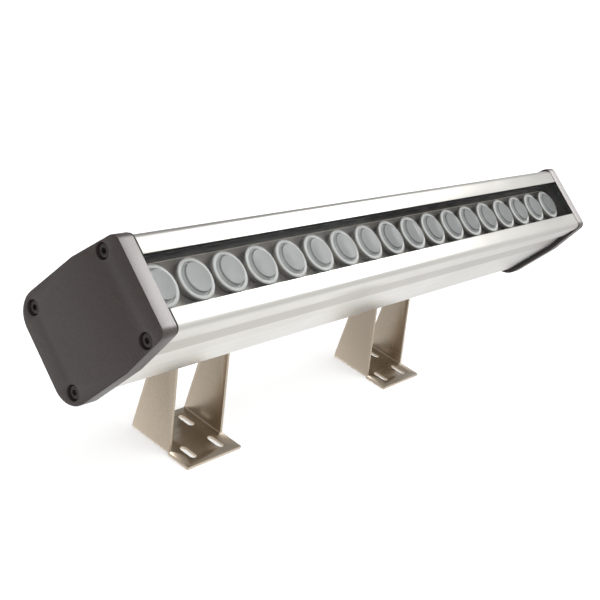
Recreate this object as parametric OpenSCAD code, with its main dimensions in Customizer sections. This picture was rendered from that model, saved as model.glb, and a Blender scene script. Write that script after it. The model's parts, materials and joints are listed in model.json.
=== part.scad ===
// Linear LED batten: an extruded housing with a row of lensed LEDs behind glass, cast end caps,
// and two folded steel feet that tilt on a cross bolt and slide along a T-slot in the back.
// Millimetres, +X along the batten, +Z up, light thrown up and towards -Y.

/* [Light row] */
// Number of LEDs and lenses in the row
lens_count = 18; // [14:1:18]
// Distance from one lens to the next
lens_pitch = 27; // [26:0.5:30]
// Outer radius of the frosted lens rings
ring_r = 12; // [11:0.1:12]

/* [Housing] */
// Half height of the front rails
rail_half = 26.6; // [26.4:0.1:27.2]
// Half height of the housing behind the rails
rear_half = 28; // [27.8:0.1:29]
// Depth of the extrusion, from its front rails to its back
housing_depth = 77.2; // [76.8:0.1:80.8]
// Half height of the window between the rails
window_half = 14.7; // [14.2:0.1:15]

/* [End caps] */
// Thickness of each cast end cap
cap_thick = 10; // [8:0.5:14]
// Half height of the caps at their back
cap_half = 31.7; // [31:0.1:34]
// Thickness of the gasket under each cap
gasket_thick = 1; // [0.6:0.1:1.6]

/* [Feet] */
// Angle of the front face's normal above the horizontal
tilt = 55.3; // [45:0.1:62]
// Distance between the middles of the two feet
foot_spacing = 225.2; // [170:1:260]
// Width of a foot along the batten
foot_w = 50.8; // [50:0.1:60]
// Height of the tilt axis above the mounting surface
pivot_h = 70.8; // [68:0.1:80]
// Thickness of the folded steel
sheet = 2; // [1.5:0.1:2]

/* [Hidden] */
$fn = 64;

// Lengths along the batten
housing_half = (lens_count * lens_pitch - 4) / 2;
cap_inner = housing_half + gasket_thick;
cap_outer = cap_inner + cap_thick;

// Section of the housing, as depths and as heights above the middle. The rails and the window
// between them sit a little below the middle.
front = -2.8;
housing_back = front + housing_depth;
rail_drop = 0.6;
rail_depth = 14;
flare_depth = 26.5;
seal_front = front + 0.6;
seal_depth = front + 5.2;
seal_half = window_half + 3.3;
glass_front = front + 1.2;
glass_thick = 3;
glass_half = window_half + 2.3;
plate_front = 12.2;
plate_thick = 1;
board_half = 13.7;
board_thick = 1.6;
web_front = 22.4;
web_back = 26.4;
driver_back = 61.2;
slot_front = 65.2;
slot_lip = 3;
slot_half = 7.75;
slot_mouth = 4.1;
slot_back = housing_back - slot_lip;

// Cap screws
screw_height = 24;
screw_front = 10;
screw_back = 70;
port_r = 1.7;
shank_r = 1.95;
counterbore_r = 4.3;
counterbore_depth = 5.2;
head_r = 3.5;
head_h = 4;
hex_key_r = 1.73;

// Cap outline
cap_front = front;
cap_back = 80.6;
cap_front_half = 28;
cap_flare_end = 30;
front_corner = 5;
back_corner = 14;
gasket_inset = 1.6;
gasket_front = front + 0.15;
gasket_half = 27.4;
gasket_step = 1.6;
pocket_depths = [28, 60];
pocket_height = 18;
pocket_half = 4;
pocket_deep = 5;

// Light engine
ring_front = 6.9;
lens_front = 5.1;
flange_seat = 8.5;
lens_back = 18.4;
lens_r = 9.5;
screw_gaps = [-6, 0, 6];
board_screw_height = 9;
lead_gap = -7;
driver_left = -150;
driver_right = 130;
driver_front = 33.2;
driver_half = 20;
driver_wall = 1.2;
driver_board = 52;
block_left = 165;
block_right = 195;
feed_depth = 46;
feed_heights = [-5, 0, 5];
wire_r = 1.1;
out_depth = 40;
out_heights = [-1.3, 1.3];
bend_r = 8;

// Cable gland in the right cap
gland_bore = 4.5;
gland_thread = 8;
gland_hex = 11.5;
gland_out = 19;

// Feet, saddles and the bolt that joins them
pivot_depth = 100.5;
pivot_r = 3;
pivot_hole = 3.05;
foot_front = 41.9;
foot_back = 7.6;
flange_foot = 25.6;
flange_r = 7.6;
bend_out = 3;
slot_pitch = 26;
slot_len = 12.6;
slot_r = 2.75;
foot_slot_y = (foot_back - foot_front) / 2;
saddle_gap = 0.3;
saddle_front = housing_back + saddle_gap;
saddle_thick = 2.5;
saddle_w = 45;
saddle_half = 18;
saddle_r = 9;
saddle_hole = 12;
ear_out = saddle_w / 2;
washer_h = 1.6;
washer_r = 6;
nut_r = 5.77;
nut_h = 5;
bolt_head_h = 4;
bolt_tail = 3;

// Place of the front face's middle, so that the origin is under the middle of the whole object
x_mid = -gland_out / 2;
y_low = (cap_front + front_corner) * cos(tilt)
    - (cap_front_half - front_corner) * sin(tilt) - front_corner;
y_high = (cap_back - back_corner) * cos(tilt) + (cap_half - back_corner) * sin(tilt) + back_corner;
y_front = -(y_low + y_high) / 2;
y_pivot = y_front + pivot_depth * cos(tilt);
z_front = pivot_h + pivot_depth * sin(tilt);

function lens_x(i) = (i - (lens_count + 1) / 2) * lens_pitch;
function lens_name(i) = str("lens_", i < 10 ? "0" : "", i);
lens_names = [for (i = [1 : lens_count]) lens_name(i)];

// ---- helpers ----

// Frame of the housing: x along the batten, y into the depth, z up the front face
module in_housing() translate([x_mid, y_front, z_front]) rotate([-tilt, 0, 0]) children();

// Frame of one foot: the origin under its tilt axis, on the mounting surface
module at_foot(side) translate([x_mid + side * foot_spacing / 2, y_pivot, 0]) children();

// Frame of one saddle, turned with the housing
module at_saddle(side) in_housing() translate([side * foot_spacing / 2, 0, 0]) children();

// A depth and height section drawn out along the batten
module along(from, to) translate([from, 0, 0]) rotate([90, 0, 90]) linear_extrude(to - from) children();

// Points along an arc, from one angle to another
function arc(centre, r, from, to) = let (steps = ceil(abs(to - from) / 9))
    [for (k = [0 : steps]) let (a = from + (to - from) * k / steps) centre + r * [cos(a), sin(a)]];

// The mirror image of some points below the middle, in the opposite order
function below(points) = [for (k = [len(points) - 1 : -1 : 0]) [points[k].x, -points[k].y]];

function both_heights(half) = concat(half, below(half));

module mirrored_height() {
    children();
    mirror([0, 1]) children();
}

// A cylinder into the depth, from one depth to another
module into(x, z, from, to, r) translate([x, from, z]) rotate([-90, 0, 0]) cylinder(r = r, h = to - from);

// A cylinder along the batten
module bar(y, z, from, to, r) translate([from, y, z]) rotate([0, 90, 0]) cylinder(r = r, h = to - from);

// A straight wire between two points
module wire(a, b, r) {
    d = b - a;
    translate(a) rotate([0, acos(d.z / norm(d)), atan2(d.y, d.x)]) cylinder(r = r, h = norm(d));
}

module block(x, y, z) translate([x[0], y[0], z[0]]) cube([x[1] - x[0], y[1] - y[0], z[1] - z[0]]);

// ---- housing ----

// One side of the section, whose rail reaches up to this height
function housing_side(rail) = let (rear_r = 7, rail_r = 4) concat(
    arc([front + rail_r, rail - rail_r], rail_r, 180, 90),
    [
        [rail_depth - 1, rail], [rail_depth - 0.4, rail - 0.7],
        [rail_depth + 1, rail - 0.7], [flare_depth, rear_half]
    ],
    arc([housing_back - rear_r, rear_half - rear_r], rear_r, 90, 0)
);

module housing_outline()
    polygon(concat(housing_side(rail_half - rail_drop),
                   below(housing_side(rail_half + rail_drop))));

module housing_hollows() {
    translate([front - 1, -window_half - rail_drop])
        square([seal_depth - front + 1, 2 * window_half]);
    translate([seal_depth - 1, -window_half])
        square([plate_front + plate_thick - seal_depth + 1, 2 * window_half]);
    translate([seal_front, -seal_half]) square([seal_depth - seal_front, 2 * seal_half]);
    translate([plate_front, -board_half - 0.2]) square([web_front - plate_front, 2 * board_half + 0.4]);
    translate([web_back, -25]) square([driver_back - web_back, 50]);
    translate([slot_front, -slot_half]) square([slot_back - slot_front, 2 * slot_half]);
    translate([slot_front, -slot_mouth]) square([housing_back - slot_front + 1, 2 * slot_mouth]);
    mirrored_height() {
        translate([15.5, 17.4]) square([web_front - 15.5, 6.4]);
        translate([driver_back - 1, 12]) square([slot_back - driver_back + 1, 6.6]);
    }
}

module at_ports() for (y = [screw_front, screw_back], z = [-screw_height, screw_height])
    translate([y, z]) children();

module housing_profile() color([0.82, 0.82, 0.8]) in_housing() difference() {
    along(-housing_half, housing_half) difference() {
        housing_outline();
        housing_hollows();
        at_ports() circle(port_r);
    }
    into(lead_gap * lens_pitch, 0, web_front - 1, web_back + 1, 3.5);
    at_board_screws() into(0, 0, web_front - 1, web_front + 3.2, 1.5);
}

// ---- end caps ----

module cap_outline() {
    flare = atan2(cap_half - cap_front_half, cap_flare_end - cap_front - front_corner);
    polygon(both_heights(concat(
        arc([cap_front + front_corner, cap_front_half - front_corner], front_corner,
            180, 90 + flare),
        [[cap_flare_end, cap_half]],
        arc([cap_back - back_corner, cap_half - back_corner], back_corner, 90, 0)
    )));
}

// Flush with the cap in front, and set in from its sides and back
module gasket_outline() {
    corner = 4.2;
    polygon(both_heights(concat(
        arc([gasket_front + corner, gasket_half - corner], corner, 180, 90),
        [[cap_flare_end, cap_half - gasket_inset]],
        arc([cap_back - back_corner, cap_half - back_corner], back_corner - gasket_inset, 90, 0)
    )));
}

// side is -1 for the left end and +1 for the right
module at_end(side) in_housing() mirror([side < 0 ? 1 : 0, 0, 0]) children();

module end_cap(side) color([0.42, 0.4, 0.39]) at_end(side) difference() {
    along(cap_inner, cap_outer) difference() {
        cap_outline();
        at_ports() circle(2.25);
        if (side > 0) translate([feed_depth, 0]) circle(gland_thread);
    }
    along(cap_outer - counterbore_depth, cap_outer + 1) at_ports() circle(counterbore_r);
    for (z = [-pocket_height, pocket_height])
        block([cap_inner - 1, cap_inner + pocket_deep], pocket_depths,
              [z - pocket_half, z + pocket_half]);
}

module cap_gasket(side) color([0.06, 0.06, 0.06]) at_end(side)
    along(housing_half, cap_inner) difference() {
        gasket_outline();
        translate([front - 1, -window_half - rail_drop]) square([gasket_step + 1, 2 * window_half]);
        translate([seal_depth, -14.4]) square([web_front - seal_depth, 28.8]);
        translate([web_back, -24]) square([driver_back - web_back, 48]);
        at_ports() circle(2.25);
    }

module cap_screws(side) color([0.13, 0.12, 0.12]) at_end(side)
    for (y = [screw_front, screw_back], z = [-screw_height, screw_height]) {
        seat = cap_outer - counterbore_depth;
        difference() {
            bar(y, z, seat, seat + head_h, head_r);
            translate([seat + head_h - 2, y, z]) rotate([0, 90, 0])
                cylinder(r = hex_key_r, h = 3, $fn = 6);
        }
        bar(y, z, housing_half, seat, shank_r);
        bar(y, z, housing_half - 13, housing_half, port_r);
    }

// ---- window ----

module front_glass() color([0.8, 0.9, 0.9, 0.3]) in_housing()
    block([-housing_half + 0.4, housing_half - 0.4], [glass_front, glass_front + glass_thick],
          [-glass_half, glass_half]);

module glass_seal() color([0.05, 0.05, 0.05]) in_housing() for (side = [-1, 1])
    mirror([0, 0, (1 - side) / 2]) along(-housing_half, housing_half) difference() {
        edge = window_half - side * rail_drop;
        translate([seal_front, edge]) square([seal_depth - seal_front, seal_half - edge]);
        translate([glass_front, edge - 1]) square([glass_thick, glass_half - edge + 1]);
    }

// ---- light engine ----

module at_lenses() for (i = [1 : lens_count]) translate([lens_x(i), 0, 0]) children();

module at_board_screws() for (gap = screw_gaps, z = [-board_screw_height, board_screw_height])
    translate([gap * lens_pitch, 0, z]) children();

// A turned shape, given as radii and depths, with its axis into the depth
module turned() rotate([-90, 0, 0]) rotate_extrude() children();

module optic_plate() color([0.56, 0.55, 0.53]) in_housing() difference() {
    block([-housing_half, housing_half], [plate_front, plate_front + plate_thick],
          [-window_half + 0.3, window_half - 0.3]);
    at_lenses() into(0, 0, plate_front - 1, plate_front + plate_thick + 1, 10.3);
}

module lens(i) color([0.75, 0.78, 0.78, 0.6]) in_housing() translate([lens_x(i), 0, 0]) turned() polygon([
    [0, lens_front], [7.4, lens_front], [7.9, lens_front + 0.4], [9.2, ring_front + 0.3],
    [lens_r, ring_front + 0.6], [lens_r, flange_seat], [8.9, flange_seat], [4, lens_back],
    [2.8, lens_back], [2.8, lens_back - 2.2], [0, lens_back - 2.8]
]);

module lens_holders() color([0.88, 0.9, 0.88]) in_housing() at_lenses() turned() polygon([
    [9.7, ring_front], [ring_r - 0.4, ring_front], [ring_r, ring_front + 0.4],
    [ring_r, ring_front + 2], [10.6, ring_front + 2.2], [8.6, web_front - board_thick],
    [7.4, web_front - board_thick], [9, flange_seat], [9.7, flange_seat]
]);

module led_board() color([0.9, 0.9, 0.87]) in_housing() difference() {
    block([-housing_half + 3, housing_half - 3], [web_front - board_thick, web_front],
          [-board_half, board_half]);
    into(lead_gap * lens_pitch, 0, web_front - 3, web_front + 1, 2.8);
    at_board_screws() into(0, 0, web_front - 3, web_front + 1, 1.6);
}

module led_emitters() color([0.95, 0.85, 0.35]) in_housing() at_lenses() {
    base = web_front - board_thick;
    block([-1.75, 1.75], [base - 0.8, base], [-1.75, 1.75]);
    into(0, 0, base - 1.6, base - 0.8, 1.5);
    translate([0, base - 1.6, 0]) sphere(1.3);
}

module board_screws() color([0.7, 0.7, 0.68]) in_housing() at_board_screws() {
    base = web_front - board_thick;
    difference() {
        into(0, 0, base - 1.9, base, 2.75);
        block([-1.9, 1.9], [base - 2.2, base - 1.1], [-0.35, 0.35]);
        block([-0.35, 0.35], [base - 2.2, base - 1.1], [-1.9, 1.9]);
    }
    into(0, 0, base, web_front + 3, 1.5);
}

// ---- driver and wiring ----

module driver_case() color([0.75, 0.76, 0.76]) in_housing() {
    difference() {
        block([driver_left, driver_right], [driver_front, driver_back], [-driver_half, driver_half]);
        block([driver_left + driver_wall, driver_right - driver_wall],
              [driver_front - 1, driver_back - driver_wall],
              [-driver_half + driver_wall, driver_half - driver_wall]);
        for (z = [feed_heights[0], feed_heights[2]])
            bar(feed_depth, z, driver_right - 3, driver_right + 1, 1.6);
        for (z = out_heights) bar(out_depth, z, driver_left - 1, driver_left + 3, 1);
    }
    for (x = [driver_left + 8, driver_right - 8], z = [-14, 14])
        into(x, z, driver_board + 1.6, driver_back - 1, 3);
}

module driver_circuit_board() color([0.1, 0.35, 0.2]) in_housing()
    block([driver_left + 3, driver_right - 3], [driver_board, driver_board + 1.6], [-18, 18]);

module driver_transformer() color([0.2, 0.2, 0.22]) in_housing() {
    block([-38, -4], [driver_board - 4, driver_board], [-15, 15]);
    block([-34, -8], [driver_board - 17, driver_board - 4], [-13, 13]);
    block([-27, -15], [driver_board - 18, driver_board - 17], [-9, 9]);
}

module driver_capacitors() color([0.15, 0.18, 0.3]) in_housing()
    for (x = [-100, -84, 60, 76]) into(x, 0, driver_board - 15, driver_board, 6);

module terminal_block() color([0.93, 0.92, 0.86]) in_housing() difference() {
    block([block_left, block_right], [feed_depth - 5, driver_back], [-9, 9]);
    for (z = feed_heights) {
        bar(feed_depth, z, block_left - 1, block_left + 7, wire_r);
        bar(feed_depth, z, block_right - 7, block_right + 1, wire_r);
        for (x = [block_left + 5, block_right - 5]) into(x, z, feed_depth - 6, feed_depth - 1.5, 1.6);
    }
}

module supply_leads() color([0.5, 0.35, 0.2]) in_housing() {
    for (z = feed_heights) {
        bar(feed_depth, z, block_right - 7, block_right + 8, wire_r);
        wire([block_right + 7.6, feed_depth, z], [cap_inner - 6, feed_depth, z / 2], wire_r);
    }
    for (z = [feed_heights[0], feed_heights[2]])
        bar(feed_depth, z, driver_right - 6, block_left + 7, wire_r);
}

module led_leads() color([0.7, 0.1, 0.1]) in_housing() for (z = out_heights) {
    x = lead_gap * lens_pitch;
    bar(out_depth, z, x + bend_r, driver_left + 6, 0.9);
    translate([x + bend_r, out_depth - bend_r, z]) rotate([0, 0, 90]) rotate_extrude(angle = 90)
        translate([bend_r, 0]) circle(0.9);
    into(x, z, web_front - board_thick - 1, out_depth - bend_r, 0.9);
}

// ---- cable gland, in the right cap ----

module gland_body() color([0.1, 0.1, 0.1]) in_housing() difference() {
    union() {
        bar(feed_depth, 0, cap_inner - 6, cap_outer + 10, gland_thread);
        translate([cap_outer, feed_depth, 0]) rotate([0, 90, 0]) cylinder(r = gland_hex, h = 5, $fn = 6);
    }
    bar(feed_depth, 0, cap_inner - 7, cap_outer + 11, gland_bore);
    bar(feed_depth, 0, cap_outer + 3, cap_outer + 11, 6.5);
}

module gland_lock_nut() color([0.12, 0.12, 0.12]) in_housing() difference() {
    translate([cap_inner - 4, feed_depth, 0]) rotate([0, 90, 0]) cylinder(r = gland_hex, h = 4, $fn = 6);
    bar(feed_depth, 0, cap_inner - 5, cap_inner + 1, gland_thread);
}

module gland_seal() color([0.2, 0.2, 0.2]) in_housing() difference() {
    bar(feed_depth, 0, cap_outer + 3, cap_outer + 16, 6.5);
    bar(feed_depth, 0, cap_outer + 2, cap_outer + 17, 3.5);
}

module gland_dome_nut() color([0.1, 0.1, 0.1]) in_housing() difference() {
    union() {
        translate([cap_outer + 5.3, feed_depth, 0]) rotate([0, 90, 0])
            cylinder(r = gland_hex, h = 8, $fn = 6);
        translate([cap_outer + 13.3, feed_depth, 0]) rotate([0, 90, 0])
            cylinder(r1 = 9.4, r2 = 6.6, h = gland_out - 13.3);
    }
    bar(feed_depth, 0, cap_outer + 5, cap_outer + 10, gland_thread);
    bar(feed_depth, 0, cap_outer + 9, cap_outer + 16, 6.5);
    bar(feed_depth, 0, cap_outer + 15, cap_outer + 20, 5);
}

// ---- saddles, which slide along the T-slot ----

module saddle(side) color([0.7, 0.67, 0.62]) at_saddle(side) difference() {
    intersection() {
        translate([-ear_out, saddle_front, -saddle_half]) difference() {
            cube([saddle_w, pivot_depth + saddle_r - saddle_front, 2 * saddle_half]);
            translate([saddle_thick, saddle_thick, -1])
                cube([saddle_w - 2 * saddle_thick, 100, 2 * saddle_half + 2]);
        }
        along(-ear_out - 1, ear_out + 1) polygon(both_heights(concat(
            [[saddle_front, saddle_half], [saddle_front + 4, saddle_half]],
            arc([pivot_depth, 0], saddle_r, 90, 9)
        )));
    }
    bar(pivot_depth, 0, -ear_out - 1, ear_out + 1, pivot_hole);
    for (x = [-saddle_hole, saddle_hole]) into(x, 0, saddle_front - 1, saddle_front + 4, 2.75);
}

module slot_nut(side) color([0.62, 0.6, 0.56]) at_saddle(side) difference() {
    block([-20, 20], [slot_front + 0.4, slot_back - 0.4], [-slot_half + 0.45, slot_half - 0.45]);
    for (x = [-saddle_hole, saddle_hole]) into(x, 0, slot_front + 1.4, slot_back, 2.5);
}

module slot_screws(side) color([0.68, 0.66, 0.62]) at_saddle(side)
    for (x = [-saddle_hole, saddle_hole]) {
        seat = saddle_front + saddle_thick;
        into(x, 0, slot_front + 1.6, seat, 2.5);
        difference() {
            into(x, 0, seat, seat + 3, 4.5);
            translate([x, seat + 1.4, 0]) rotate([-90, 0, 0]) cylinder(r = hex_key_r, h = 3, $fn = 6);
        }
    }

module spacer_sleeve(side) color([0.66, 0.64, 0.6]) at_saddle(side) difference() {
    bar(pivot_depth, 0, -ear_out + saddle_thick, ear_out - saddle_thick, 5);
    bar(pivot_depth, 0, -ear_out, ear_out, pivot_hole);
}

// ---- feet ----

// Flange seen from the end: upright at the back, and tangent to the round top at the front
module flange_outline() {
    lean = atan2(pivot_h, flange_foot) + asin(flange_r / norm([flange_foot, pivot_h]));
    polygon(concat(
        [[-flange_foot, 0], [foot_back, 0]],
        arc([0, pivot_h], flange_r, 0, lean + 90)
    ));
}

// Fold of the sheet seen along Y, with round corners
module fold_outline() {
    half = foot_w / 2;
    left = [bend_out - half, bend_out];
    right = [half - bend_out, bend_out];
    polygon(concat(
        [[-half, 100]], arc(left, bend_out, 180, 270), arc(right, bend_out, 270, 360), [[half, 100]],
        [[half - sheet, 100]], arc(right, bend_out - sheet, 360, 270),
        arc(left, bend_out - sheet, 270, 180), [[sheet - half, 100]]
    ));
}

module foot(side) color([0.7, 0.65, 0.59]) at_foot(side) difference() {
    half = foot_w / 2;
    union() {
        block([-half, half], [-foot_front, -flange_foot + 1], [0, sheet]);
        block([-half + bend_out, half - bend_out], [-flange_foot - 1, foot_back], [0, sheet]);
        intersection() {
            translate([0, foot_back, 0]) rotate([90, 0, 0]) linear_extrude(foot_back + foot_front)
                fold_outline();
            along(-half, half) flange_outline();
        }
    }
    bar(0, pivot_h, -half - 1, half + 1, pivot_hole);
    for (x = [-slot_pitch / 2, slot_pitch / 2], y = [-slot_pitch / 2, slot_pitch / 2])
        translate([x, foot_slot_y + y, -1]) linear_extrude(sheet + 2) {
            for (end = [-1, 1]) translate([0, end * (slot_len / 2 - slot_r)]) circle(slot_r);
            square([2 * slot_r, slot_len - 2 * slot_r], center = true);
        }
}

module pivot_bolt(side) color([0.72, 0.71, 0.68]) at_foot(side) {
    seat = foot_w / 2 + washer_h;
    bar(0, pivot_h, -seat, seat + nut_h + bolt_tail, pivot_r);
    translate([-seat - bolt_head_h, 0, pivot_h]) rotate([0, 90, 0])
        cylinder(r = nut_r, h = bolt_head_h, $fn = 6);
}

module pivot_washers(side) color([0.75, 0.74, 0.72]) at_foot(side) difference() {
    union() for (x = [-foot_w / 2 - washer_h, foot_w / 2]) bar(0, pivot_h, x, x + washer_h, washer_r);
    bar(0, pivot_h, -foot_w, foot_w, pivot_hole);
}

module pivot_nut(side) color([0.72, 0.71, 0.68]) at_foot(side) difference() {
    translate([foot_w / 2 + washer_h, 0, pivot_h]) rotate([0, 90, 0])
        cylinder(r = nut_r, h = nut_h, $fn = 6);
    bar(0, pivot_h, 0, foot_w, pivot_r);
}

housing_profile();
end_cap(-1);  // end_cap_left
end_cap(1);  // end_cap_right
cap_gasket(-1);  // cap_gasket_left
cap_gasket(1);  // cap_gasket_right
cap_screws(-1);  // cap_screws_left
cap_screws(1);  // cap_screws_right
front_glass();
glass_seal();
optic_plate();
lens_holders();
led_board();
led_emitters();
board_screws();
driver_case();
driver_circuit_board();
driver_transformer();
driver_capacitors();
terminal_block();
supply_leads();
led_leads();
gland_body();
gland_lock_nut();
gland_seal();
gland_dome_nut();
saddle(-1);  // saddle_left
slot_nut(-1);  // slot_nut_left
slot_screws(-1);  // slot_screws_left
spacer_sleeve(-1);  // spacer_sleeve_left
foot(-1);  // foot_left
pivot_bolt(-1);  // pivot_bolt_left
pivot_washers(-1);  // pivot_washers_left
pivot_nut(-1);  // pivot_nut_left
saddle(1);  // saddle_right
slot_nut(1);  // slot_nut_right
slot_screws(1);  // slot_screws_right
spacer_sleeve(1);  // spacer_sleeve_right
foot(1);  // foot_right
pivot_bolt(1);  // pivot_bolt_right
pivot_washers(1);  // pivot_washers_right
pivot_nut(1);  // pivot_nut_right
for (i = [1 : lens_count]) lens(i);
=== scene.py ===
import json
import math

import bmesh
import bpy
from mathutils import Matrix, Vector


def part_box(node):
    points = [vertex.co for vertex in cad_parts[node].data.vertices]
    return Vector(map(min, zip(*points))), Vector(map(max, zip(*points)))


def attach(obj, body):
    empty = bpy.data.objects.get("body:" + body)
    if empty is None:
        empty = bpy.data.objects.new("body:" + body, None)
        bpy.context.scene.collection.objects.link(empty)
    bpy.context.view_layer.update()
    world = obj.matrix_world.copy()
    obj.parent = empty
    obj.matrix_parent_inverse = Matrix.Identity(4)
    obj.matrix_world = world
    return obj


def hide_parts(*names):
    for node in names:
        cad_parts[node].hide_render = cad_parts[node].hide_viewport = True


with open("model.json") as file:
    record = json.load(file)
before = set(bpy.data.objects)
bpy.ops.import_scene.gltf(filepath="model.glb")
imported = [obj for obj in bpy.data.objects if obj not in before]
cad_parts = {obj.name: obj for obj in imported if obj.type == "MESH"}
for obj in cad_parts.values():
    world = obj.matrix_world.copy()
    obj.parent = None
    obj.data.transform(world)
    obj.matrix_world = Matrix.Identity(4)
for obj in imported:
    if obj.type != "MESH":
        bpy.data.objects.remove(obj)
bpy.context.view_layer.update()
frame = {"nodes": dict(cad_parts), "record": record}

bl_info = {
    "name": "LED Batten",
    "version": (1, 0, 0),
    "blender": (4, 5, 0),
    "location": "View3D > Sidebar > Batten",
    "description": "Finishes and detailed pieces of a linear LED batten on two tilting feet",
    "category": "Object",
}

MM = 0.001
WELD = 0.000002
FLAT_TOLERANCE = math.radians(0.4)
SHARP_EDGE = math.radians(30)
CREASE = math.radians(35)
TURNED_CREASE = math.radians(28)
NOISE_ROUGHNESS = 0.6
LENS_COUNT = sum(name.startswith("lens_") and name[5:].isdigit() for name in frame["nodes"])


def middle(node):
    """Middle of a CAD node's box."""
    low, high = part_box(node)
    return (low + high) / 2


# ---- sizes and colours a user would change ----


class BattenSizes(bpy.types.PropertyGroup):
    """Sizes of the batten's edges and lenses"""

    tilt: bpy.props.FloatProperty(
        name="Tilt", description="Angle of the light's direction above the horizontal",
        default=math.radians(55.3), subtype="ANGLE")
    glass_depth: bpy.props.FloatProperty(
        name="Glass depth", description="Depth of the glass's middle in the housing's frame",
        default=-0.0001, unit="LENGTH")
    cap_edge: bpy.props.FloatProperty(
        name="Cap edge", description="Width of the rounded edge of the cast end caps",
        default=0.0007, unit="LENGTH")
    profile_edge: bpy.props.FloatProperty(
        name="Profile edge", description="Width of the rounded edges of the extrusion",
        default=0.00025, unit="LENGTH")
    sheet_edge: bpy.props.FloatProperty(
        name="Sheet edge", description="Width of the broken edges of the folded sheet",
        default=0.00022, unit="LENGTH")
    screw_edge: bpy.props.FloatProperty(
        name="Screw edge", description="Width of the rounded edges of screws and nuts",
        default=0.0003, unit="LENGTH")
    gland_edge: bpy.props.FloatProperty(
        name="Gland edge", description="Width of the rounded edges of the cable gland",
        default=0.0005, unit="LENGTH")
    lens_segments: bpy.props.IntProperty(
        name="Lens segments", description="Facets round each lens and ring",
        default=72, min=24, max=128)


class BattenColours(bpy.types.PropertyGroup):
    """Colours of the batten's finishes"""

    anodised: bpy.props.FloatVectorProperty(
        name="Anodised", description="Satin anodised extrusion",
        default=(0.70, 0.685, 0.645), subtype="COLOR", size=3, min=0, max=1)
    # Painted shade: the darker colour of the band behind each rail.
    band: bpy.props.FloatVectorProperty(
        name="Band shade", description="Painted shade on the band behind the side of each rail",
        default=(0.49, 0.47, 0.435), subtype="COLOR", size=3, min=0, max=1)
    # Painted shade: the near-black colour of the window's inner walls in front of the lenses.
    wall: bpy.props.FloatVectorProperty(
        name="Window shade", description="Painted shade on the walls of the window in front of the lenses",
        default=(0.03, 0.028, 0.027), subtype="COLOR", size=3, min=0, max=1)
    cap: bpy.props.FloatVectorProperty(
        name="Cap paint", description="Fine textured metallic paint on the end caps",
        default=(0.047, 0.035, 0.031), subtype="COLOR", size=3, min=0, max=1)
    stainless: bpy.props.FloatVectorProperty(
        name="Stainless", description="Warm satin stainless sheet of the feet",
        default=(0.60, 0.51, 0.405), subtype="COLOR", size=3, min=0, max=1)
    plate: bpy.props.FloatVectorProperty(
        name="Plate", description="Satin grey plate between the lenses",
        default=(0.31, 0.285, 0.25), subtype="COLOR", size=3, min=0, max=1)
    ring: bpy.props.FloatVectorProperty(
        name="Ring", description="Frosted white moulding round each lens",
        default=(0.60, 0.615, 0.60), subtype="COLOR", size=3, min=0, max=1)
    lens: bpy.props.FloatVectorProperty(
        name="Lens", description="Clear acrylic of the lenses",
        default=(0.33, 0.34, 0.338), subtype="COLOR", size=3, min=0, max=1)
    floor: bpy.props.FloatVectorProperty(
        name="Floor", description="Pale studio floor",
        default=(0.93, 0.93, 0.93), subtype="COLOR", size=3, min=0, max=1)


def sizes():
    return bpy.context.scene.batten_sizes


def colours():
    return bpy.context.scene.batten_colours


def housing_frame():
    """Matrix from the housing's own frame (along, depth, height) to the row frame."""
    turn = Matrix.Rotation(-sizes().tilt, 4, "X")
    depth = turn @ Vector((0, 1, 0))
    return Matrix.Translation(middle("front_glass") - sizes().glass_depth * depth) @ turn


# ---- node groups shared by the finishes ----


def new_group(name, inputs, outputs):
    """A shader node group with float or vector inputs and outputs, and its two end nodes."""
    group = bpy.data.node_groups.new(name, "ShaderNodeTree")
    for label, kind, default in inputs:
        socket = group.interface.new_socket(label, in_out="INPUT", socket_type=kind)
        if default is not None:
            socket.default_value = default
    for label, kind in outputs:
        group.interface.new_socket(label, in_out="OUTPUT", socket_type=kind)
    return group, group.nodes.new("NodeGroupInput"), group.nodes.new("NodeGroupOutput")


def math_node(tree, operation, a, b):
    """A Math node whose two inputs are sockets or plain numbers."""
    node = tree.nodes.new("ShaderNodeMath")
    node.operation = operation
    for socket, value in zip(node.inputs, (a, b)):
        if isinstance(value, bpy.types.NodeSocket):
            tree.links.new(value, socket)
        else:
            socket.default_value = value
    return node.outputs[0]


def noise(tree, vector, scale, detail):
    """A noise value over a vector, at a scale given by a socket."""
    node = tree.nodes.new("ShaderNodeTexNoise")
    node.inputs["Detail"].default_value = detail
    node.inputs["Roughness"].default_value = NOISE_ROUGHNESS
    tree.links.new(vector, node.inputs["Vector"])
    tree.links.new(scale, node.inputs["Scale"])
    return node.outputs["Fac"]


def ramp(tree, value, source, target, interpolation="LINEAR"):
    """A value taken from one range to another, and held at its ends."""
    node = tree.nodes.new("ShaderNodeMapRange")
    node.interpolation_type = interpolation
    labels = ("From Min", "From Max", "To Min", "To Max")
    for label, limit in zip(labels, (*source, *target)):
        node.inputs[label].default_value = limit
    tree.links.new(value, node.inputs["Value"])
    return node.outputs["Result"]


def scaled(tree, vector, factors):
    """A vector with its three components scaled."""
    node = tree.nodes.new("ShaderNodeVectorMath")
    node.operation = "MULTIPLY"
    tree.links.new(vector, node.inputs[0])
    node.inputs[1].default_value = factors
    return node.outputs[0]


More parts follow.
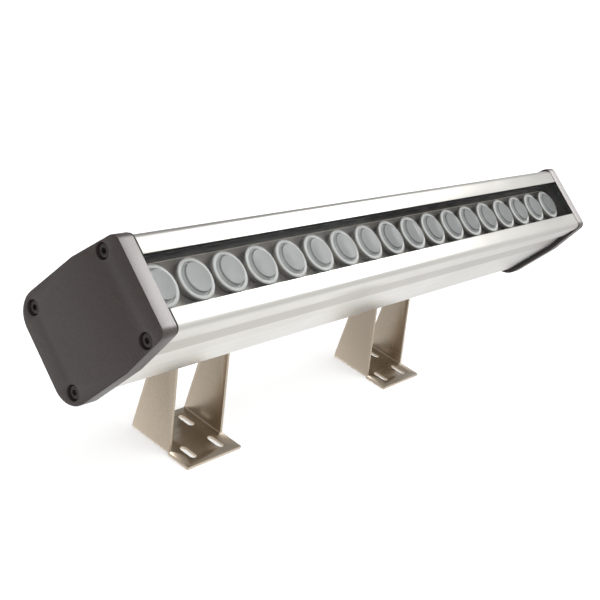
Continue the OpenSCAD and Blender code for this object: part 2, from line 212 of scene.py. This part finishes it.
def drawn_lines_group():
    """Fine lines along X, as on drawn or brushed metal: a height and a 0 to 1 mask."""
    group, start, end = new_group(
        "Drawn lines",
        [("Vector", "NodeSocketVector", None), ("Lines per metre", "NodeSocketFloat", 1500.0)],
        [("Height", "NodeSocketFloat"), ("Streaks", "NodeSocketFloat")])
    fine = scaled(group, start.outputs["Vector"], (0.012, 1, 1))
    coarse = scaled(group, start.outputs["Vector"], (0.004, 1, 1))
    height = noise(group, fine, start.outputs["Lines per metre"], 2)
    wide = math_node(group, "MULTIPLY", start.outputs["Lines per metre"], 0.16)
    streaks = noise(group, coarse, wide, 3)
    group.links.new(height, end.inputs["Height"])
    group.links.new(streaks, end.inputs["Streaks"])
    return group


def grain_group():
    """Fine cast or moulded grain: a height and a 0 to 1 speckle mask."""
    group, start, end = new_group(
        "Grain",
        [("Vector", "NodeSocketVector", None), ("Grains per metre", "NodeSocketFloat", 2500.0)],
        [("Height", "NodeSocketFloat"), ("Speckle", "NodeSocketFloat")])
    cells = group.nodes.new("ShaderNodeTexVoronoi")
    group.links.new(start.outputs["Vector"], cells.inputs["Vector"])
    group.links.new(start.outputs["Grains per metre"], cells.inputs["Scale"])
    soft = noise(group, start.outputs["Vector"], start.outputs["Grains per metre"], 3)
    height = math_node(group, "MULTIPLY", cells.outputs["Distance"], soft)
    group.links.new(height, end.inputs["Height"])
    group.links.new(soft, end.inputs["Speckle"])
    return group


def handling_group():
    """Slow patches of use over a surface: a 0 to 1 mask for colour and roughness."""
    group, start, end = new_group(
        "Handling",
        [("Vector", "NodeSocketVector", None), ("Patches per metre", "NodeSocketFloat", 30.0)],
        [("Patches", "NodeSocketFloat")])
    wide = noise(group, start.outputs["Vector"], start.outputs["Patches per metre"], 4)
    group.links.new(ramp(group, wide, (0.3, 0.7), (0, 1)), end.inputs["Patches"])
    return group


EFFECTS = {"Drawn lines": drawn_lines_group, "Grain": grain_group, "Handling": handling_group}


def effect(tree, name, vector, amount):
    """One of the shared effects placed in a material, with its own density."""
    group = bpy.data.node_groups.get(name) or EFFECTS[name]()
    node = tree.nodes.new("ShaderNodeGroup")
    node.node_tree = group
    tree.links.new(vector, node.inputs["Vector"])
    node.inputs[1].default_value = amount
    return node


# ---- finishes ----


def surface_vector(tree, tilted):
    """Object coordinates in metres, turned into the housing's frame where the finish follows it."""
    place = tree.nodes.new("ShaderNodeTexCoord")
    if not tilted:
        return place.outputs["Object"]
    mapping = tree.nodes.new("ShaderNodeMapping")
    mapping.vector_type = "TEXTURE"
    mapping.inputs["Location"].default_value = housing_frame().translation
    mapping.inputs["Rotation"].default_value = (-sizes().tilt, 0, 0)
    tree.links.new(place.outputs["Object"], mapping.inputs["Vector"])
    return mapping.outputs["Vector"]


def ranged(tree, value, low, high):
    """A 0 to 1 value taken to another range."""
    return ramp(tree, value, (0, 1), (low, high))


def mixed(tree, mask, first, second):
    """Two colours mixed by a mask; the first may be a socket."""
    node = tree.nodes.new("ShaderNodeMix")
    node.data_type = "RGBA"
    tree.links.new(mask, node.inputs["Factor"])
    if isinstance(first, bpy.types.NodeSocket):
        tree.links.new(first, node.inputs["A"])
    else:
        node.inputs["A"].default_value = (*first, 1)
    node.inputs["B"].default_value = (*second, 1)
    return node.outputs["Result"]


def shade(colour, factor):
    """A colour made lighter or darker, and held under full white."""
    return tuple(min(1.0, channel * factor) for channel in colour)


def start_finish(name, metallic, tilted=True):
    """A new material with its tree, its shader and the coordinates for its detail."""
    material = bpy.data.materials.new(name)
    material.use_nodes = True
    tree = material.node_tree
    shader = tree.nodes["Principled BSDF"]
    shader.inputs["Metallic"].default_value = metallic
    return material, tree, shader, surface_vector(tree, tilted)


def add_bump(tree, shader, height, strength, distance):
    bump = tree.nodes.new("ShaderNodeBump")
    bump.inputs["Strength"].default_value = strength
    bump.inputs["Distance"].default_value = distance
    tree.links.new(height, bump.inputs["Height"])
    tree.links.new(bump.outputs["Normal"], shader.inputs["Normal"])


def drawn_metal(name, colour, roughness, metallic=1.0, lines=1500.0, depth=0.25, tilted=True):
    """Metal with fine lines along the batten, a slow change of tone and faint handling marks."""
    material, tree, shader, vector = start_finish(name, metallic, tilted)
    drawn = effect(tree, "Drawn lines", vector, lines)
    worn = effect(tree, "Handling", vector, 22.0)
    streaked = mixed(tree, drawn.outputs["Streaks"], colour, shade(colour, 0.86))
    worn_mask = ranged(tree, worn.outputs["Patches"], 0, 0.35)
    toned = mixed(tree, worn_mask, streaked, shade(colour, 0.9))
    tree.links.new(toned, shader.inputs["Base Color"])
    slow = ranged(tree, worn.outputs["Patches"], roughness - 0.03, roughness + 0.05)
    fine = ranged(tree, drawn.outputs["Streaks"], -0.05, 0.05)
    tree.links.new(math_node(tree, "ADD", fine, slow), shader.inputs["Roughness"])
    add_bump(tree, shader, drawn.outputs["Height"], depth, 0.03 * MM)
    return material


def grained(name, colour, roughness, metallic=0.0, grains=2500.0, depth=0.3, contrast=0.2,
            coat=0.0):
    """Paint, moulding or rubber with a fine grain, speckled tone and slow patches."""
    material, tree, shader, vector = start_finish(name, metallic)
    grain = effect(tree, "Grain", vector, grains)
    worn = effect(tree, "Handling", vector, 35.0)
    speckled = mixed(tree, grain.outputs["Speckle"], shade(colour, 1 + contrast),
                     shade(colour, 1 - contrast))
    worn_mask = ranged(tree, worn.outputs["Patches"], 0, 0.3)
    toned = mixed(tree, worn_mask, speckled, shade(colour, 0.88))
    tree.links.new(toned, shader.inputs["Base Color"])
    tree.links.new(ranged(tree, worn.outputs["Patches"], roughness - 0.04, roughness + 0.05),
                   shader.inputs["Roughness"])
    shader.inputs["Coat Weight"].default_value = coat
    add_bump(tree, shader, grain.outputs["Height"], depth, 0.06 * MM)
    return material


def between(tree, value, low, high, soft):
    """A mask that is 1 where a value lies between two limits, with soft edges."""
    rising = ramp(tree, value, (low - soft, low + soft), (0, 1))
    falling = ramp(tree, value, (high - soft, high + soft), (1, 0))
    return math_node(tree, "MULTIPLY", rising, falling)


def parted(tree, vector):
    """The along, depth and height of a place in the housing's frame."""
    node = tree.nodes.new("ShaderNodeSeparateXYZ")
    tree.links.new(vector, node.inputs["Vector"])
    return node.outputs


def anodised_extrusion():
    """Satin anodised metal, with painted shade on a band behind each rail and on the window walls.
    """
    paint = colours()
    material = drawn_metal("Anodised", tuple(paint.anodised), 0.33)
    tree = material.node_tree
    shader = tree.nodes["Principled BSDF"]
    drawn = shader.inputs["Base Color"].links[0].from_socket
    _, depth, height = parted(tree, surface_vector(tree, True))
    # Painted shade on the band behind each rail, 14.2 to 26.3 mm deep.
    band = between(tree, depth, 14.2 * MM, 26.3 * MM, 0.15 * MM)
    shade_banded = mixed(tree, band, drawn, tuple(paint.band))
    # Painted shade: the window's inner walls, in front of the lenses, take the near-black wall
    # colour.
    window_shade_mask = math_node(tree, "MULTIPLY", between(tree, depth, -2.3 * MM, 14 * MM, 0.1 * MM),
                       between(tree, height, -16 * MM, 16 * MM, 0.1 * MM))
    tree.links.new(mixed(tree, window_shade_mask, shade_banded, tuple(paint.wall)), shader.inputs["Base Color"])
    return material


def frosted_moulding():
    """Frosted white ring that turns clear and takes the plate's tone below its face."""
    paint = colours()
    material = grained("Ring", tuple(paint.ring), 0.42, grains=3500.0, depth=0.1, contrast=0.05)
    tree = material.node_tree
    shader = tree.nodes["Principled BSDF"]
    frosted = shader.inputs["Base Color"].links[0].from_socket
    _, depth, _ = parted(tree, surface_vector(tree, True))
    below_face = between(tree, depth, 7.5 * MM, 60 * MM, 0.25 * MM)
    tree.links.new(mixed(tree, below_face, frosted, shade(tuple(paint.plate), 1.15)),
                   shader.inputs["Base Color"])
    return material


def light_plate():
    """Satin grey plate with a painted highlight along its top edge."""
    paint = colours()
    material = drawn_metal("Plate", tuple(paint.plate), 0.45, metallic=0.2, lines=1200.0,
                           depth=0.15)
    tree = material.node_tree
    shader = tree.nodes["Principled BSDF"]
    satin = shader.inputs["Base Color"].links[0].from_socket
    _, _, height = parted(tree, surface_vector(tree, True))
    # Painted highlight: a thin line along the plate's top edge at three times the plate's colour.
    edge = between(tree, height, 14.0 * MM, 15 * MM, 0.05 * MM)
    tree.links.new(mixed(tree, edge, satin, shade(tuple(paint.plate), 3)),
                   shader.inputs["Base Color"])
    return material


def window_glass():
    """Clear tempered glass with faint smears."""
    material, tree, shader, vector = start_finish("Glass", 0.0)
    worn = effect(tree, "Handling", vector, 18.0)
    tree.links.new(ranged(tree, worn.outputs["Patches"], 0.03, 0.09), shader.inputs["Roughness"])
    tree.links.new(ranged(tree, worn.outputs["Patches"], 0.03, 0.05), shader.inputs["Alpha"])
    shader.inputs["Base Color"].default_value = (0.12, 0.13, 0.13, 1)
    shader.inputs["IOR"].default_value = 1.5
    return material


def lens_acrylic():
    """Clear moulded acrylic with a faint moulding ripple, and a painted highlight on the wall round
    its raised boss.
    """
    material, tree, shader, vector = start_finish("Lens", 0.0)
    ripple = effect(tree, "Handling", vector, 260.0)
    tree.links.new(ranged(tree, ripple.outputs["Patches"], 0.10, 0.20), shader.inputs["Roughness"])
    clear = tuple(colours().lens)
    _, depth, _ = parted(tree, vector)
    # Painted highlight: the wall round the raised boss is much lighter than the lens's face.
    painted_highlight_wall = between(tree, depth, 5.9 * MM, 8.4 * MM, 0.35 * MM)
    face = mixed(tree, ripple.outputs["Patches"], clear, shade(clear, 0.9))
    tree.links.new(mixed(tree, painted_highlight_wall, face, shade(clear, 2.7)), shader.inputs["Base Color"])
    shader.inputs["IOR"].default_value = 1.49
    shader.inputs["Transmission Weight"].default_value = 0.2
    shader.inputs["Specular IOR Level"].default_value = 0.12
    add_bump(tree, shader, ripple.outputs["Patches"], 0.15, 0.05 * MM)
    return material


def emitter_phosphor():
    """Yellow phosphor under a clear silicone dome."""
    return grained("Emitter", (0.9, 0.74, 0.2), 0.3, grains=6000.0, coat=0.8)


def finish_of(slot):
    """The material of one of the record's slots."""
    paint = colours()
    makers = {
        "anodised": anodised_extrusion,
        "cap_paint": lambda: grained("Cap_paint", tuple(paint.cap), 0.4, metallic=0.1,
                                     grains=1100.0, depth=0.55, contrast=0.6),
        "gasket": lambda: grained("Gasket", (0.018, 0.018, 0.018), 0.75, grains=3000.0),
        "black_screw": lambda: grained("Black_screw", (0.045, 0.038, 0.034), 0.3, metallic=0.6,
                                       grains=4000.0, depth=0.15),
        "glass": window_glass,
        "plate": light_plate,
        "ring": frosted_moulding,
        "lens": lens_acrylic,
        "board": lambda: grained("Board", (0.8, 0.8, 0.76), 0.45, grains=2000.0, depth=0.1,
                                 contrast=0.05, coat=0.2),
        "emitter": emitter_phosphor,
        "zinc": lambda: drawn_metal("Zinc", (0.62, 0.62, 0.6), 0.35, lines=2500.0),
        "driver_case": lambda: drawn_metal("Driver_case", (0.6, 0.61, 0.61), 0.4, lines=900.0),
        "circuit": lambda: grained("Circuit", (0.03, 0.16, 0.06), 0.4, grains=1500.0, coat=0.4),
        "winding": lambda: grained("Winding", (0.05, 0.05, 0.055), 0.5, grains=1800.0),
        "capacitor": lambda: grained("Capacitor", (0.03, 0.04, 0.1), 0.3, grains=900.0, depth=0.1,
                                     coat=0.4),
        "terminal": lambda: grained("Terminal", (0.82, 0.8, 0.72), 0.45, grains=2200.0, depth=0.15,
                                    contrast=0.06),
        "lead": lambda: grained("Lead", (0.25, 0.12, 0.05), 0.35, grains=1600.0, depth=0.1),
        "led_lead": lambda: grained("Led_lead", (0.5, 0.03, 0.03), 0.35, grains=1600.0, depth=0.1),
        "gland": lambda: grained("Gland", (0.022, 0.022, 0.023), 0.45, grains=2600.0, depth=0.25),
        "gland_rubber": lambda: grained("Gland_rubber", (0.04, 0.04, 0.04), 0.7, grains=2600.0),
        "stainless": lambda: drawn_metal("Stainless", tuple(paint.stainless), 0.28, lines=2200.0,
                                         depth=0.3, tilted=False),
        "hardware": lambda: drawn_metal("Hardware", (0.64, 0.62, 0.58), 0.3, lines=3500.0,
                                        depth=0.2, tilted=False),
    }
    name = slot[0].upper() + slot[1:]
    return bpy.data.materials.get(name) or makers[slot]()


SLOT_OF = {
    "housing_profile": "anodised", "front_glass": "glass", "glass_seal": "gasket",
    "optic_plate": "plate", "lens_holders": "ring", "led_board": "board",
    "led_emitters": "emitter", "board_screws": "zinc", "driver_case": "driver_case",
    "driver_circuit_board": "circuit", "driver_transformer": "winding",
    "driver_capacitors": "capacitor", "terminal_block": "terminal", "supply_leads": "lead",
    "led_leads": "led_lead", "gland_body": "gland", "gland_lock_nut": "gland",
    "gland_seal": "gland_rubber", "gland_dome_nut": "gland",
}
for end in ("left", "right"):
    SLOT_OF.update({
        f"end_cap_{end}": "cap_paint", f"cap_gasket_{end}": "gasket",
        f"cap_screws_{end}": "black_screw", f"saddle_{end}": "stainless",
        f"slot_nut_{end}": "hardware", f"slot_screws_{end}": "hardware",
        f"spacer_sleeve_{end}": "hardware", f"foot_{end}": "stainless",
        f"pivot_bolt_{end}": "hardware", f"pivot_washers_{end}": "hardware",
        f"pivot_nut_{end}": "hardware",
    })
for number in range(1, LENS_COUNT + 1):
    SLOT_OF[f"lens_{number:02d}"] = "lens"


# ---- pieces ----


def body_of(node):
    """Body that a CAD node rides on."""
    for body, members in frame["record"]["behaviour"]["bodies"].items():
        if node in members:
            return body
    raise RuntimeError(f"no body holds {node}")


def add_piece(mesh, name, node):
    """A finished mesh as a piece that rides with a CAD node, stands for it and has its finish."""
    piece = bpy.data.objects.new(name, mesh)
    bpy.context.scene.collection.objects.link(piece)
    piece.data.materials.append(finish_of(SLOT_OF[node]))
    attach(piece, body_of(node))
    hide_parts(node)


def softened_copy(node, name, width, segments=2):
    """A CAD node's shape with its sharp outer edges rounded, and its many-sided faces kept flat."""
    shape = bmesh.new()
    shape.from_mesh(frame["nodes"][node].data)
    bmesh.ops.remove_doubles(shape, verts=shape.verts, dist=WELD)
    bmesh.ops.dissolve_limit(shape, angle_limit=FLAT_TOLERANCE, verts=shape.verts,
                             edges=shape.edges, delimit={"NORMAL"})
    sharp = [edge for edge in shape.edges
             if edge.is_manifold and edge.is_convex and edge.calc_face_angle() > SHARP_EDGE]
    bmesh.ops.bevel(shape, geom=sharp, offset=width, offset_type="OFFSET", segments=segments,
                    profile=0.5, affect="EDGES", clamp_overlap=True, material=-1)
    flat = [face for face in shape.faces if len(face.verts) > 4]
    for face in shape.faces:
        face.smooth = len(face.verts) <= 4
    bmesh.ops.triangulate(shape, faces=flat)
    mesh = bpy.data.meshes.new(name)
    shape.to_mesh(mesh)
    shape.free()
    mesh.set_sharp_from_angle(angle=CREASE)
    add_piece(mesh, name, node)


def turned(shape, profile, segments):
    """A profile of (radius, depth) in millimetres spun round its depth axis."""
    points = [shape.verts.new((radius * MM, depth * MM, 0)) for radius, depth in profile]
    edges = [shape.edges.new(pair) for pair in zip(points, points[1:])]
    if profile[0][0] > 0:
        edges.append(shape.edges.new((points[-1], points[0])))
    bmesh.ops.spin(shape, geom=points + edges, axis=(0, 1, 0), cent=(0, 0, 0),
                   angle=math.tau, steps=segments, use_merge=True)


def spun_mesh(name, profile, segments, places):
    """One mesh with a spun profile at each of several places."""
    whole = bmesh.new()
    for place in places:
        one = bmesh.new()
        turned(one, profile, segments)
        bmesh.ops.remove_doubles(one, verts=one.verts, dist=0.000001)
        bmesh.ops.recalc_face_normals(one, faces=one.faces)
        bmesh.ops.transform(one, matrix=place, verts=one.verts)
        part = bpy.data.meshes.new("part")
        one.to_mesh(part)
        one.free()
        whole.from_mesh(part)
        bpy.data.meshes.remove(part)
    mesh = bpy.data.meshes.new(name)
    whole.to_mesh(mesh)
    whole.free()
    mesh.shade_smooth()
    mesh.set_sharp_from_angle(angle=TURNED_CREASE)
    return mesh


def lens_place(number):
    """Matrix to the housing's frame at one lens's axis."""
    across = middle(f"lens_{number:02d}").x
    place = housing_frame()
    place.translation.x = across
    return place


class BATTEN_OT_housing(bpy.types.Operator):
    """Extruded housing with its long edges rounded"""

    bl_idname = "batten.housing"
    bl_label = "Housing"

    def execute(self, context):
        softened_copy("housing_profile", "housing_extrusion", sizes().profile_edge)
        return {"FINISHED"}


class BATTEN_OT_end_caps(bpy.types.Operator):
    """Cast end caps with round edges, and their screws"""

    bl_idname = "batten.end_caps"
    bl_label = "End caps"

    def execute(self, context):
        for end in ("left", "right"):
            softened_copy(f"end_cap_{end}", f"cast_cap_{end}", sizes().cap_edge, segments=3)
            softened_copy(f"cap_screws_{end}", f"socket_screws_{end}", sizes().screw_edge)
        return {"FINISHED"}


class BATTEN_OT_lenses(bpy.types.Operator):
    """Clear lenses with a flat raised boss, one for each LED"""

    bl_idname = "batten.lenses"
    bl_label = "Lenses"

    def execute(self, context):
        profile = [
            (0, 5.55), (4, 5.45), (7, 5.2), (7.9, 5.1), (8.25, 5.15), (8.5, 5.4), (8.65, 5.8),
            (8.95, 7.5), (9.15, 7.8), (9.4, 7.9), (9.5, 8.05), (9.5, 8.4), (8.9, 8.5), (7.9, 10.6),
            (6.4, 13.6), (4, 18.3), (3.6, 18.4), (2.9, 18.3), (2.8, 16.4), (2.2, 15.9), (1.2, 15.65),
            (0, 15.6),
        ]
        for number in range(1, LENS_COUNT + 1):
            name = f"clear_lens_{number:02d}"
            mesh = spun_mesh(name, profile, sizes().lens_segments, [lens_place(number)])
            add_piece(mesh, name, f"lens_{number:02d}")
        return {"FINISHED"}


class BATTEN_OT_lens_rings(bpy.types.Operator):
    """Frosted holders with a rounded ring round each lens"""

    bl_idname = "batten.lens_rings"
    bl_label = "Lens rings"

    def execute(self, context):
        profile = [
            (9.7, 7.35), (9.85, 7.05), (10.15, 6.9), (11.35, 6.9), (11.7, 7.0), (11.92, 7.2),
            (12, 7.5), (12, 8.8), (11.8, 8.95), (10.7, 9.1), (10.55, 9.3), (8.65, 20.7),
            (8.5, 20.8), (7.5, 20.8), (7.42, 20.6), (8.95, 8.75), (9.1, 8.55), (9.6, 8.5),
        ]
        places = [lens_place(number) for number in range(1, LENS_COUNT + 1)]
        mesh = spun_mesh("frosted_holders", profile, sizes().lens_segments, places)
        add_piece(mesh, "frosted_holders", "lens_holders")
        return {"FINISHED"}


class BATTEN_OT_feet(bpy.types.Operator):
    """Folded feet and saddles with broken edges, and their bolts, washers and nuts"""

    bl_idname = "batten.feet"
    bl_label = "Feet"

    def execute(self, context):
        for end in ("left", "right"):
            softened_copy(f"foot_{end}", f"folded_foot_{end}", sizes().sheet_edge)
            softened_copy(f"saddle_{end}", f"folded_saddle_{end}", sizes().sheet_edge)
            for node, name in (("pivot_bolt", "tilt_bolt"), ("pivot_nut", "tilt_nut"),
                               ("pivot_washers", "tilt_washers"), ("slot_screws", "saddle_screws"),
                               ("slot_nut", "tee_nut")):
                softened_copy(f"{node}_{end}", f"{name}_{end}", sizes().screw_edge)
        return {"FINISHED"}


class BATTEN_OT_gland(bpy.types.Operator):
    """Cable gland with rounded nylon edges"""

    bl_idname = "batten.gland"
    bl_label = "Cable gland"

    def execute(self, context):
        for node, name in (("gland_body", "gland_shell"), ("gland_dome_nut", "gland_dome"),
                           ("gland_lock_nut", "gland_inner_nut")):
            softened_copy(node, name, sizes().gland_edge)
        return {"FINISHED"}


class BATTEN_OT_finishes(bpy.types.Operator):
    """Procedural finishes on every part that keeps its CAD shape"""

    bl_idname = "batten.finishes"
    bl_label = "Finishes"

    def execute(self, context):
        for node, part in frame["nodes"].items():
            if part.hide_render:
                continue
            material = finish_of(SLOT_OF[node])
            for index in range(len(part.material_slots)):
                part.material_slots[index].material = material
            if not part.material_slots:
                part.data.materials.append(material)
        return {"FINISHED"}


class BATTEN_OT_stage(bpy.types.Operator):
    """Pale floor, soft light and the camera"""

    bl_idname = "batten.stage"
    bl_label = "Stage"

    def execute(self, context):
        add_floor()
        add_sky(context.scene)
        add_lamp("Key", (1.2, -0.41, 1.48), (-0.15, 0, 0.14), 1.0, 14)
        caps = [bpy.data.objects[f"cast_cap_{end}"] for end in ("left", "right")]
        add_lamp("Left_cap_light", (1.2, -0.41, 1.48), (-0.25, 0, 0.15), 1.6, 45, caps)
        add_lamp("Right_cap_light", (2.08, -0.24, 0.91), (0.24, 0, 0.15), 1.3, 8, caps)
        add_camera(context.scene)
        context.scene.view_settings.view_transform = "Standard"
        return {"FINISHED"}


def add_floor():
    """A pale floor that isn't mirrored in the batten."""
    shape = bmesh.new()
    bmesh.ops.create_grid(shape, x_segments=1, y_segments=1, size=9)
    mesh = bpy.data.meshes.new("floor")
    shape.to_mesh(mesh)
    shape.free()
    floor = bpy.data.objects.new("floor", mesh)
    bpy.context.scene.collection.objects.link(floor)
    material = bpy.data.materials.new("Floor")
    material.use_nodes = True
    shader = material.node_tree.nodes["Principled BSDF"]
    shader.inputs["Base Color"].default_value = (*colours().floor, 1)
    shader.inputs["Roughness"].default_value = 0.9
    shader.inputs["Specular IOR Level"].default_value = 0.1
    floor.data.materials.append(material)
    floor.visible_glossy = False
    add_floor_light(floor)


def add_floor_light(floor):
    """A shadowless light on the floor alone, so that it stays pale and even."""
    sun = bpy.data.lights.new("Floor_light", "SUN")
    sun.energy = 1.6
    sun.use_shadow = False
    sun_object = bpy.data.objects.new("Floor_light", sun)
    bpy.context.scene.collection.objects.link(sun_object)
    light_only(sun_object, "Floor_only", [floor])


def add_sky(scene):
    """Soft surround: brighter on the right, overhead and below, and darker behind."""
    world = bpy.data.worlds.new("Studio")
    scene.world = world
    world.use_nodes = True
    tree = world.node_tree
    place = tree.nodes.new("ShaderNodeTexCoord")
    split = tree.nodes.new("ShaderNodeSeparateXYZ")
    tree.links.new(place.outputs["Generated"], split.inputs["Vector"])
    across, back, up = split.outputs
    sideways = ramp(tree, across, (-0.9, -0.1), (0.6, 0.9), "SMOOTHSTEP")
    overhead = ramp(tree, up, (0.3, 0.7), (0.0, 0.22), "SMOOTHSTEP")
    below = ramp(tree, up, (-0.25, -0.6), (0.0, 0.32), "SMOOTHSTEP")
    strength = math_node(tree, "ADD", math_node(tree, "ADD", sideways, overhead), below)
    above = ramp(tree, up, (0, 0.25), (0, 1))
    behind = ramp(tree, back, (0, 0.35), (0, 1))
    dark = math_node(tree, "MULTIPLY", above, behind)
    keep = math_node(tree, "SUBTRACT", 1.0, math_node(tree, "MULTIPLY", dark, 0.65))
    strength = math_node(tree, "MULTIPLY", strength, keep)
    tree.links.new(strength, tree.nodes["Background"].inputs["Strength"])
    tree.nodes["Background"].inputs["Color"].default_value = (1, 1, 1, 1)


def light_only(lamp_object, name, pieces):
    """Makes a lamp shine on a few pieces alone."""
    receivers = bpy.data.collections.new(name)
    for piece in pieces:
        receivers.objects.link(piece)
    lamp_object.light_linking.receiver_collection = receivers


def add_lamp(name, place, target, size, power, pieces=()):
    """A round area lamp aimed at a point, which may shine on a few pieces alone."""
    lamp = bpy.data.lights.new(name, "AREA")
    lamp.shape = "DISK"
    lamp.size = size
    lamp.energy = power
    lamp_object = bpy.data.objects.new(name, lamp)
    bpy.context.scene.collection.objects.link(lamp_object)
    lamp_object.location = place
    aim = Vector(target) - Vector(place)
    lamp_object.rotation_euler = aim.to_track_quat("-Z", "Y").to_euler()
    if pieces:
        light_only(lamp_object, name + "_only", pieces)


def add_camera(scene):
    """Long lens from the left and above, rolled a little."""
    camera = bpy.data.objects.new("Camera", bpy.data.cameras.new("Camera"))
    scene.collection.objects.link(camera)
    camera.data.sensor_width = 36
    camera.data.lens = 68.3
    camera.location = (-0.6396, -0.3245, 0.3749)
    aim = Vector((0.79908, 0.45979, -0.38738))
    roll = Matrix.Rotation(math.radians(19.2), 4, "Z")
    camera.rotation_euler = (aim.to_track_quat("-Z", "Y").to_matrix().to_4x4() @ roll).to_euler()
    scene.camera = camera


class BATTEN_PT_panel(bpy.types.Panel):
    """Sizes, colours and pieces of the batten"""

    bl_idname = "BATTEN_PT_panel"
    bl_label = "LED Batten"
    bl_space_type = "VIEW_3D"
    bl_region_type = "UI"
    bl_category = "Batten"

    def draw(self, context):
        layout = self.layout
        for group in (context.scene.batten_sizes, context.scene.batten_colours):
            box = layout.box()
            for name in group.bl_rna.properties.keys():
                if name not in ("rna_type", "name"):
                    box.prop(group, name)
        for operator in OPERATORS:
            layout.operator(operator.bl_idname)


OPERATORS = (
    BATTEN_OT_housing, BATTEN_OT_end_caps, BATTEN_OT_lenses, BATTEN_OT_lens_rings, BATTEN_OT_feet,
    BATTEN_OT_gland, BATTEN_OT_finishes, BATTEN_OT_stage,
)
CLASSES = (BattenSizes, BattenColours, *OPERATORS, BATTEN_PT_panel)


def register():
    for item in CLASSES:
        bpy.utils.register_class(item)
    bpy.types.Scene.batten_sizes = bpy.props.PointerProperty(type=BattenSizes)
    bpy.types.Scene.batten_colours = bpy.props.PointerProperty(type=BattenColours)


def unregister():
    del bpy.types.Scene.batten_colours
    del bpy.types.Scene.batten_sizes
    for item in reversed(CLASSES):
        bpy.utils.unregister_class(item)


def main():
    register()
    bpy.ops.batten.housing()
    bpy.ops.batten.end_caps()
    bpy.ops.batten.lenses()
    bpy.ops.batten.lens_rings()
    bpy.ops.batten.feet()
    bpy.ops.batten.gland()
    bpy.ops.batten.finishes()
    bpy.ops.batten.stage()


if __name__ == "__main__":
    main()
